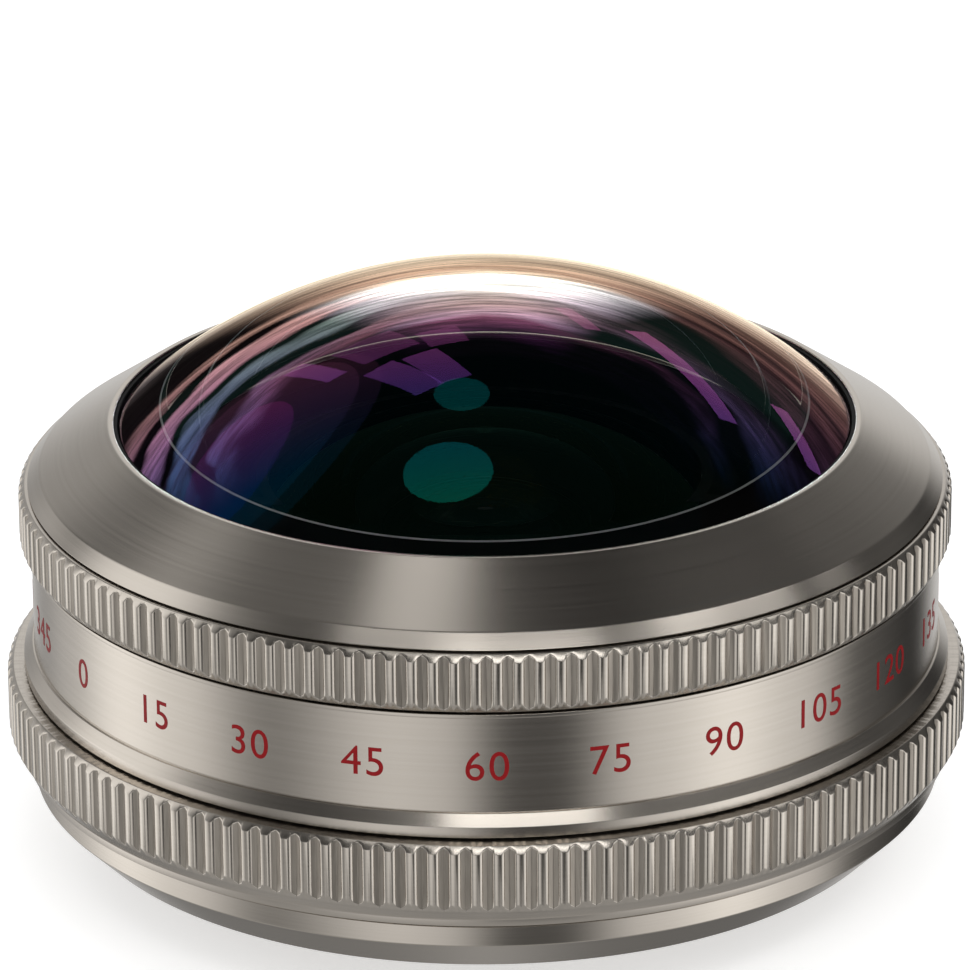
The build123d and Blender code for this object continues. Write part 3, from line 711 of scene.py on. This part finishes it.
# Mount spigot: the short tube that screws into a phone case, with a 17 mm thread of 0.75 mm
# pitch cut on it. Its flange sits in the base and is held by four countersunk screws.
spigot_radius = 8.5
spigot_bore = 6.7
spigot_end = -3.0
spigot_chamfer = 0.4
spigot_flange = 12.9
spigot_flange_top = 1.2
pilot_radius = 9.4
spigot_edge_break = 0.05
spigot_outline = [
    (spigot_bore, spigot_end),
    (spigot_radius - spigot_chamfer, spigot_end),
    (spigot_radius, spigot_end + spigot_chamfer),
    (spigot_radius, 0),
    (spigot_flange, 0),
    (spigot_flange, spigot_flange_top),
    (pilot_radius, spigot_flange_top),
    (pilot_radius, flange_floor),
    (spigot_bore, flange_floor),
]
spigot = turned_piece("threaded_spigot", spigot_outline, spigot_edge_break, steps=128)

# The thread's groove, about seven eighths of the pitch wide at the spigot's face, is wound up the
# spigot by a Screw modifier. The cutter starts below the spigot and stands out past its face.
thread_pitch = 0.75
thread_depth = 0.46
thread_turns = 5
thread_start = spigot_end - 1.2
thread_floor = spigot_radius - thread_depth
thread_outside = spigot_radius + 0.1
half_floor = 0.03
half_outside = thread_pitch * 7 / 16 * (thread_outside - thread_floor) / thread_depth
thread_groove = [
    (thread_outside, thread_start - half_outside),
    (thread_floor, thread_start - half_floor),
    (thread_floor, thread_start + half_floor),
    (thread_outside, thread_start + half_outside),
]
thread_cutter = start_outline("thread_cutter", thread_groove[0])
for start, end in zip(thread_groove, thread_groove[1:] + thread_groove[:1]):
    draw_line(start, end)
bpy.ops.mesh.select_all(action="SELECT")
bpy.ops.mesh.remove_doubles(threshold=0.001 * MM)
bpy.ops.object.mode_set(mode="OBJECT")
bpy.ops.object.modifier_add(type="SCREW")
wind = thread_cutter.modifiers[-1]
wind.axis = "Z"
wind.angle = 2 * math.pi
wind.screw_offset = thread_pitch * MM
wind.iterations = thread_turns
wind.steps = 64
wind.render_steps = 64
bpy.ops.object.modifier_apply(modifier=wind.name)
bpy.ops.object.mode_set(mode="EDIT")
bpy.ops.mesh.select_all(action="SELECT")
bpy.ops.mesh.remove_doubles(threshold=0.001 * MM)
bpy.ops.mesh.select_all(action="DESELECT")
bpy.ops.mesh.select_non_manifold()
bpy.ops.mesh.edge_face_add()
bpy.ops.mesh.select_all(action="SELECT")
bpy.ops.mesh.normals_make_consistent(inside=False)
bpy.ops.object.mode_set(mode="OBJECT")

# The four countersunk holes, and a screw in each with a cross recess in its flat head. A screw's
# outline is given from its own axis.
head_hole = 1.32
head_radius = 1.3
head_height = 0.6
shank_radius = 0.7
screw_length = 2.3
recess_length = 1.3
recess_width = 0.3
recess_depth = 0.3
cone_start = -0.1
cone_end = head_hole - screw_hole
drill_start = 0.5
drill_end = 1.5
screw_outline = [
    (0, 0), (head_radius, 0), (shank_radius, head_height), (shank_radius, screw_length), (0, screw_length),
]
drills = []
screws = []
for turn in screw_turns:
    head_middle = Vector((screw_circle * math.cos(turn), screw_circle * math.sin(turn), 0))
    cone_middle = head_middle + Vector((0, 0, (cone_end + cone_start) / 2))
    bpy.ops.object.select_all(action="DESELECT")
    bpy.ops.mesh.primitive_cone_add(
        vertices=48, radius1=(head_hole - cone_start) * MM, radius2=screw_hole * MM,
        depth=(cone_end - cone_start) * MM, location=cone_middle * MM,
    )
    drills.append(bpy.context.object)
    drills.append(add_drill(turn, drill_start, drill_end))

    screw = start_outline("screw", (screw_circle, 0))
    for start, end in zip(screw_outline, screw_outline[1:]):
        draw_line(start, end)
    bpy.ops.mesh.select_all(action="SELECT")
    bpy.ops.mesh.spin(steps=48, angle=2 * math.pi, center=(screw_circle * MM, 0, 0), axis=(0, 0, 1))
    bpy.ops.mesh.select_all(action="SELECT")
    bpy.ops.transform.rotate(value=-turn, orient_axis="Z", center_override=(0, 0, 0))
    close_piece()
    recess = []
    for across, along in [(recess_length, recess_width), (recess_width, recess_length)]:
        bpy.ops.object.select_all(action="DESELECT")
        bpy.ops.mesh.primitive_cube_add(
            size=MM, location=head_middle * MM, scale=(across, along, 2 * recess_depth)
        )
        recess.append(bpy.context.object)
    cut_away(screw, recess)
    screws.append(screw)
cut_away(spigot, drills + [thread_cutter])
bpy.ops.object.select_all(action="DESELECT")
for screw in screws:
    screw.select_set(True)
bpy.context.view_layer.objects.active = screws[0]
bpy.ops.object.join()
countersunk_screws = bpy.context.object
countersunk_screws.name = "countersunk_screws"
countersunk_screws.data.materials.append(blackened_steel)
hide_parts("spigot_screws")
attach(countersunk_screws, "mount_base")
spigot.data.materials.append(satin_aluminium)
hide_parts("mount_spigot")
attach(spigot, "mount_base")

# The studio: a wide pale floor that runs out of view, a painted surround of soft grey bands
# that the polished metal mirrors, and soft lamps. The floor takes the shadow but isn't
# mirrored, so the surround's lower half lights the metal from below, as the photograph shows.
floor_radius = 3000
floor_gap = 0.01
bpy.ops.object.select_all(action="DESELECT")
bpy.ops.mesh.primitive_circle_add(
    vertices=96, radius=floor_radius * MM, fill_type="NGON", location=(0, 0, (spigot_end - floor_gap) * MM)
)
floor = bpy.context.object
floor.name = "studio_floor"
bpy.ops.object.transform_apply(location=True)

# White paper: matt, with a weak glow towards the camera that brings it to white
paper, tree, place, shader = new_material(
    "white_paper",
    {"Base Color": colour("#EDEDED"), "Roughness": 0.9, "Emission Color": colour("#FFFFFF")},
)
rays = add_node(tree, "ShaderNodeLightPath")
glow = add_node(
    tree, "ShaderNodeMath", {"operation": "MULTIPLY", 1: 0.5}, {0: rays.outputs["Is Camera Ray"]}
)
tree.links.new(glow.outputs[0], shader.inputs["Emission Strength"])
floor.data.materials.append(paper)
floor.visible_glossy = False
floor.visible_transmission = False

surround = bpy.data.worlds.new("studio_surround")
bpy.context.scene.world = surround
surround.use_nodes = True
tree = surround.node_tree
tree.nodes.clear()
way = add_node(tree, "ShaderNodeTexCoord")
axes = add_node(tree, "ShaderNodeSeparateXYZ", links={0: way.outputs["Generated"]})
ahead = add_node(tree, "ShaderNodeMath", {"operation": "MULTIPLY", 1: -1.0}, {0: axes.outputs["Y"]})
azimuth = add_node(
    tree, "ShaderNodeMath", {"operation": "ARCTAN2"}, {0: axes.outputs["X"], 1: ahead.outputs[0]}
)
around = add_node(
    tree, "ShaderNodeMapRange", {"From Min": -math.pi, "From Max": math.pi}, {"Value": azimuth.outputs[0]}
)


def bands(tones):
    """Grey bands round the surround: azimuths, 0 in front and positive to the right, with tones."""
    ramp = add_node(tree, "ShaderNodeValToRGB", links={"Fac": around.outputs[0]})
    ramp.color_ramp.interpolation = "EASE"
    stops = ramp.color_ramp.elements
    while len(stops) < len(tones):
        stops.new(0.5)
    for stop, (degrees, tone) in zip(stops, tones):
        stop.position = 0.5 + degrees / 360
        stop.color = (tone, tone, tone, 1)
    return ramp.outputs[0]


def layer(below, above, low, high):
    """Fades from one tone to another between two elevations in degrees."""
    share = add_node(
        tree, "ShaderNodeMapRange",
        {"interpolation_type": "SMOOTHSTEP", "From Min": math.sin(math.radians(low)),
         "From Max": math.sin(math.radians(high))},
        {"Value": axes.outputs["Z"]},
    )
    return add_node(
        tree, "ShaderNodeMix", {"data_type": "RGBA"}, {0: share.outputs[0], 6: below, 7: above}
    ).outputs[2]


# What rough metal mirrors, from below to overhead
beneath = bands([(-180, 0.4), (-160, 0.18), (-120, 0.4), (120, 0.4), (160, 0.12), (180, 0.4)])
level = bands([
    (-180, 0.8), (-150, 0.36), (-130, 0.6), (-104, 1.3), (-84, 0.95), (-56, 0.25), (-22, 0.85),
    (-12, 0.75), (6, 0.05), (18, 0.05), (42, 0.85), (64, 1.3), (84, 0.85), (108, 0.1), (140, 0.03),
    (162, 0.7), (180, 0.8),
])
upper = bands([
    (-180, 0.8), (-150, 0.36), (-128, 0.06), (-112, 1.1), (-95, 1.1), (-78, 0.25), (-60, 0.06), (-36, 0.03),
    (0, 0.3), (20, 0.3), (50, 0.1), (80, 0.1), (100, 0.02), (130, 0.1), (150, 0.22), (180, 0.8),
])
zenith = bands([(-180, 0.12), (-90, 0.12), (-30, 0.1), (60, 0.02), (120, 0.01), (180, 0.05)])
painted = layer(layer(layer(beneath, level, -44, -28), upper, 8, 26), zenith, 40, 58)
rays = add_node(tree, "ShaderNodeLightPath")


def for_rays(kind, otherwise, tone):
    """What rays of one kind see, as a plain colour, and what all others see."""
    return add_node(
        tree, "ShaderNodeMix", {"data_type": "RGBA", 7: (*tone, 1)}, {0: rays.outputs[kind], 6: otherwise}
    ).outputs[2]


# Matt surfaces get even light, polished glass a dark room, and the camera a white one
seen = for_rays("Is Diffuse Ray", painted, (0.8, 0.8, 0.8))
seen = for_rays("Is Singular Ray", seen, (0.003, 0.01, 0.008))
seen = for_rays("Is Camera Ray", seen, (1, 1, 1))
sky = add_node(tree, "ShaderNodeBackground", {"Strength": 1.0}, {"Color": seen})
add_node(tree, "ShaderNodeOutputWorld", links={"Surface": sky.outputs[0]})

lamp_distance = 0.45
lens_middle = 15


def softbox(name, azimuth, elevation, width, height, radiance, tint, shape, roll):
    """A flat soft lamp that faces the lens. Its azimuth is 0 in front, and all angles are in degrees."""
    lamp = bpy.data.lights.new(name, "AREA")
    lamp.shape = shape
    lamp.size = 2 * lamp_distance * math.tan(math.radians(width / 2))
    lamp.size_y = 2 * lamp_distance * math.tan(math.radians(height / 2))
    lamp.color = tint
    area = lamp.size * lamp.size_y * (math.pi / 4 if shape == "ELLIPSE" else 1)
    lamp.energy = radiance * math.pi * area
    holder = bpy.data.objects.new(name, lamp)
    bpy.context.scene.collection.objects.link(holder)
    target = Vector((0, 0, lens_middle * MM))
    turn = math.radians(azimuth - 90)
    up = math.radians(elevation)
    way = Vector((math.cos(turn) * math.cos(up), math.sin(turn) * math.cos(up), math.sin(up)))
    place = way * lamp_distance
    holder.matrix_world = (
        Matrix.Translation(place)
        @ (target - place).to_track_quat("-Z", "Y").to_matrix().to_4x4()
        @ Matrix.Rotation(math.radians(roll), 4, "Z")
    )
    holder.visible_transmission = False
    return holder


# The front glass is lit apart from the metal. The metal's softboxes leave the glass out. The
# glass has its own discs, window panes and strips behind the lens and overhead, where the dome
# mirrors them towards the camera.
all_but_glass = bpy.data.collections.new("all_but_glass")
all_but_glass.objects.link(front_glass)
all_but_glass.collection_objects[0].light_linking.link_state = "EXCLUDE"
white = (1, 1, 1)
for name, azimuth, elevation, width, height, radiance, shape, roll in [
    ("front_softbox", 10, 49, 30, 11, 2.8, "RECTANGLE", 0),
    ("front_left_softbox", -24, 58, 26, 6, 1.4, "RECTANGLE", 0),
    ("front_right_softbox", 58, 52.5, 20, 6, 0.8, "RECTANGLE", -12),
    ("far_right_softbox", 104, 36, 10, 5, 0.8, "RECTANGLE", -25),
    ("right_softbox", 77, 50, 28, 9, 1.5, "RECTANGLE", -25),
    ("overhead_softbox", -110, 82, 18, 14, 1.0, "ELLIPSE", 0),
]:
    lamp = softbox(name, azimuth, elevation, width, height, radiance, white, shape, roll)
    lamp.light_linking.receiver_collection = all_but_glass

glass_only = bpy.data.collections.new("glass_only")
glass_only.objects.link(front_glass)
teal = (0.0, 1.0, 0.5)
sea_green = (0.0, 1.0, 0.3)
purple = (1.0, 0.5, 0.85)
plum = (1.0, 0.12, 0.4)
dusk = (0.8, 0.45, 0.4)
for name, azimuth, elevation, width, height, radiance, tint, shape, roll in [
    ("glass_overhead", -116, 83.2, 15, 15, 1.0, teal, "ELLIPSE", 0),
    ("glass_rear_disc", -172, 66, 8, 10, 1.0, sea_green, "ELLIPSE", 0),
    ("glass_pane_1", -160, 57, 5, 12, 1.0, purple, "RECTANGLE", 14),
    ("glass_pane_2", -169, 56, 5, 11, 1.0, purple, "RECTANGLE", 14),
    ("glass_pane_3", -162, 44, 8, 8, 0.6, purple, "RECTANGLE", 8),
    ("glass_pane_4", -173, 46, 5, 6, 0.6, purple, "RECTANGLE", 8),
    ("glass_left_halo_1", -126, 47, 46, 33, 0.2, dusk, "ELLIPSE", 0),
    ("glass_left_halo_2", -127, 46, 40, 27, 0.3, dusk, "ELLIPSE", 0),
    ("glass_left_zone_1", -127, 46, 33, 21, 0.6, plum, "ELLIPSE", 0),
    ("glass_left_zone_2", -123, 44, 27, 16, 0.7, plum, "ELLIPSE", 0),
    ("glass_left_streak", -151, 43, 3, 10, 1.2, purple, "RECTANGLE", 0),
    ("glass_right_streak_1", 149, 37, 22, 3, 1.5, purple, "RECTANGLE", -20),
    ("glass_right_streak_2", 137, 26.5, 13, 2.5, 1.4, purple, "RECTANGLE", -10),
    ("glass_right_streak_3", 168, 35, 8, 2, 1.0, purple, "RECTANGLE", -50),
]:
    lamp = softbox(name, azimuth, elevation, width, height, radiance, tint, shape, roll)
    lamp.light_linking.receiver_collection = glass_only

# Streaked glowing veil: a curved sheet behind the lens, hung in folds like draped satin, that glows with
# painted light, bright in the middle and striped to the sides, which gives the dome its sweeping
# streaks. Only polished glass mirrors it, and the metal sees through it.
wall_radius = 500
wall_bottom = -350
wall_top = 650
bpy.ops.object.select_all(action="DESELECT")
bpy.ops.mesh.primitive_cylinder_add(
    vertices=96, radius=wall_radius * MM, depth=(wall_top - wall_bottom) * MM, end_fill_type="NOTHING",
    location=(0, 0, (wall_top + wall_bottom) / 2 * MM),
)
wall = bpy.context.object
wall.name = "glowing_streaked_veil"
bpy.ops.object.transform_apply(location=True)
wall.visible_camera = False
wall.visible_diffuse = False
wall.visible_transmission = False
wall.visible_shadow = False
wall.light_linking.receiver_collection = glass_only

satin = bpy.data.materials.new("glowing_striped_veil")
satin.use_nodes = True
tree = satin.node_tree
tree.nodes.clear()
place = add_node(tree, "ShaderNodeTexCoord").outputs["Object"]
axes = add_node(tree, "ShaderNodeSeparateXYZ", links={0: place})
side = add_node(
    tree, "ShaderNodeMath", {"operation": "ARCTAN2"}, {0: axes.outputs["X"], 1: axes.outputs["Y"]}
)
off_middle = add_node(tree, "ShaderNodeMath", {"operation": "ABSOLUTE"}, {0: side.outputs[0]})
raised = add_node(
    tree, "ShaderNodeMath", {"operation": "SUBTRACT", 1: lens_middle * MM}, {0: axes.outputs["Z"]}
)
slope = add_node(
    tree, "ShaderNodeMath", {"operation": "DIVIDE", 1: wall_radius * MM}, {0: raised.outputs[0]}
)
height = add_node(tree, "ShaderNodeMath", {"operation": "ARCTANGENT"}, {0: slope.outputs[0]})

# Loose folds, 5 degrees up or down, that fade out towards the middle
fold_place = add_node(tree, "ShaderNodeCombineXYZ", links={"X": side.outputs[0], "Y": height.outputs[0]})
folds = add_node(
    tree, "ShaderNodeTexNoise", {"noise_dimensions": "2D", "Scale": 2.5, "Detail": 2.0},
    {"Vector": fold_place.outputs[0]},
)
drape = add_node(
    tree, "ShaderNodeMapRange", {"To Min": math.radians(-5), "To Max": math.radians(5)},
    {"Value": folds.outputs[0]},
)
aside = add_node(
    tree, "ShaderNodeMapRange",
    {"interpolation_type": "SMOOTHSTEP", "From Min": math.radians(4), "From Max": math.radians(17)},
    {"Value": off_middle.outputs[0]},
)
hang = add_node(
    tree, "ShaderNodeMath", {"operation": "MULTIPLY"}, {0: drape.outputs[0], 1: aside.outputs[0]}
)

# The stripes climb to either side, by 0.15 degrees for each degree away from the middle
climb = 0.15
raised_sides = add_node(
    tree, "ShaderNodeMath", {"operation": "MULTIPLY_ADD", 1: -climb},
    {0: off_middle.outputs[0], 2: height.outputs[0]},
)
draped = add_node(
    tree, "ShaderNodeMath", {"operation": "ADD"}, {0: raised_sides.outputs[0], 1: hang.outputs[0]}
)

# Its stripes over the elevation, in the middle and to either side
lowest, highest = -25, 50
share = add_node(
    tree, "ShaderNodeMapRange",
    {"From Min": math.radians(lowest), "From Max": math.radians(highest)}, {"Value": draped.outputs[0]},
)


def stripes(tones):
    """Ramp over the elevation: pairs of degrees and a linear colour."""
    ramp = add_node(tree, "ShaderNodeValToRGB", links={"Fac": share.outputs[0]})
    stops = ramp.color_ramp.elements
    while len(stops) < len(tones):
        stops.new(0.5)
    for stop, (degrees, tone) in zip(stops, tones):
        stop.position = (degrees - lowest) / (highest - lowest)
        stop.color = (*tone, 1)
    return ramp.outputs[0]


dark = (0.02, 0.02, 0.02)
cream = (1.5, 1.36, 1.08)
tan = (1.25, 1.08, 0.85)
peach = (2.4, 2.0, 1.8)
ice = (0.9, 2.0, 1.6)
middle = stripes([
    (-10, cream), (-1, tan), (4, (1.7, 1.45, 1.15)), (9, (1.8, 1.45, 1.15)), (12, (3.5, 3.5, 3)),
    (15, (7, 10, 11)), (24, (7, 10, 11)), (26, (3, 4, 4.2)), (31, (3, 3.6, 3.4)), (35, (4.5, 5.5, 5.5)),
    (37, (1.6, 1.0, 1.4)), (42, (0.4, 0.2, 0.4)), (46, dark),
])
left = stripes([
    (-12, (0.4, 0.4, 0.4)), (-3, dark), (7, dark), (9, (1.2, 1.0, 0.8)), (11, (1.2, 1.0, 0.8)), (12, dark),
    (14, dark), (15, peach), (19, peach), (20, dark), (21, dark), (22, ice), (25, ice), (26, dark),
    (29, dark), (30, (1.6, 1.6, 1.4)), (33, (1.2, 0.9, 0.8)), (35, dark),
])
right = stripes([
    (-9, cream), (-5, tan), (0, (0.3, 0.22, 0.18)), (4, (0.5, 0.36, 0.3)), (6, (0.1, 0.08, 0.08)),
    (9, (0.5, 0.36, 0.3)), (12, (0.1, 0.08, 0.08)), (15, (0.3, 0.22, 0.2)), (18, dark), (22, dark),
    (26, (0.2, 0.2, 0.2)), (30, (0.45, 0.5, 0.5)), (32, dark), (35, dark), (37, (0.3, 0.2, 0.2)),
    (39, dark),
])
to_right = add_node(tree, "ShaderNodeMath", {"operation": "GREATER_THAN", 1: 0.0}, {0: side.outputs[0]})
both_sides = add_node(
    tree, "ShaderNodeMix", {"data_type": "RGBA"}, {0: to_right.outputs[0], 6: left, 7: right}
)
drawn = add_node(
    tree, "ShaderNodeMix", {"data_type": "RGBA"}, {0: aside.outputs[0], 6: middle, 7: both_sides.outputs[2]}
)

# Long, fine streaks in the strength of the painted glow, and a fade to nothing far aside
silk_place = add_node(
    tree, "ShaderNodeVectorMath", {"operation": "MULTIPLY", 1: (1, 12, 1)}, {0: fold_place.outputs[0]}
)
silk = add_node(
    tree, "ShaderNodeTexNoise", {"noise_dimensions": "2D", "Scale": 5.0, "Detail": 4.0},
    {"Vector": silk_place.outputs[0]},
)
glow_streaks = add_node(
    tree, "ShaderNodeMapRange", {"From Min": 0.35, "From Max": 0.65, "To Min": 0.55, "To Max": 1.4},
    {"Value": silk.outputs[0]},
)
gone = add_node(
    tree, "ShaderNodeMapRange",
    {"interpolation_type": "SMOOTHSTEP", "From Min": math.radians(70), "From Max": math.radians(45)},
    {"Value": off_middle.outputs[0]},
)
strength = add_node(
    tree, "ShaderNodeMath", {"operation": "MULTIPLY"}, {0: glow_streaks.outputs[0], 1: gone.outputs[0]}
)
# The veil's stripes are emitted light, a glow painted in by the ramps above
shine = add_node(
    tree, "ShaderNodeEmission", links={"Color": drawn.outputs[2], "Strength": strength.outputs[0]}
)
sheer = add_node(tree, "ShaderNodeBsdfTransparent")
rays = add_node(tree, "ShaderNodeLightPath")
either = add_node(
    tree, "ShaderNodeMixShader",
    links={0: rays.outputs["Is Singular Ray"], 1: sheer.outputs[0], 2: shine.outputs[0]},
)
add_node(tree, "ShaderNodeOutputMaterial", links={"Surface": either.outputs[0]})
wall.data.materials.append(satin)

# Camera: 437 mm from the lens at 21 degrees above it, with a long lens, as the photograph was
# taken. Its tilt and roll place the lens in the frame.
view_elevation = math.radians(21.44)
view_distance = 436.85
aim_height = 24.8
camera_tilt = math.radians(-0.574)
camera_roll = math.radians(-0.405)
camera = bpy.data.objects.new("camera", bpy.data.cameras.new("camera"))
bpy.context.scene.collection.objects.link(camera)
camera.data.sensor_width = 36.0
camera.data.lens = 266.07
camera.data.clip_start = 0.01
camera.data.clip_end = 20.0
camera_place = Vector((
    0,
    -view_distance * math.cos(view_elevation) * MM,
    (view_distance * math.sin(view_elevation) + aim_height) * MM,
))
camera.matrix_world = (
    Matrix.Translation(camera_place)
    @ Matrix.Rotation(math.pi / 2 - view_elevation + camera_tilt, 4, "X")
    @ Matrix.Rotation(camera_roll, 4, "Z")
)
bpy.context.scene.camera = camera
bpy.context.scene.view_settings.view_transform = "Standard"

bpy.context.view_layer.update()
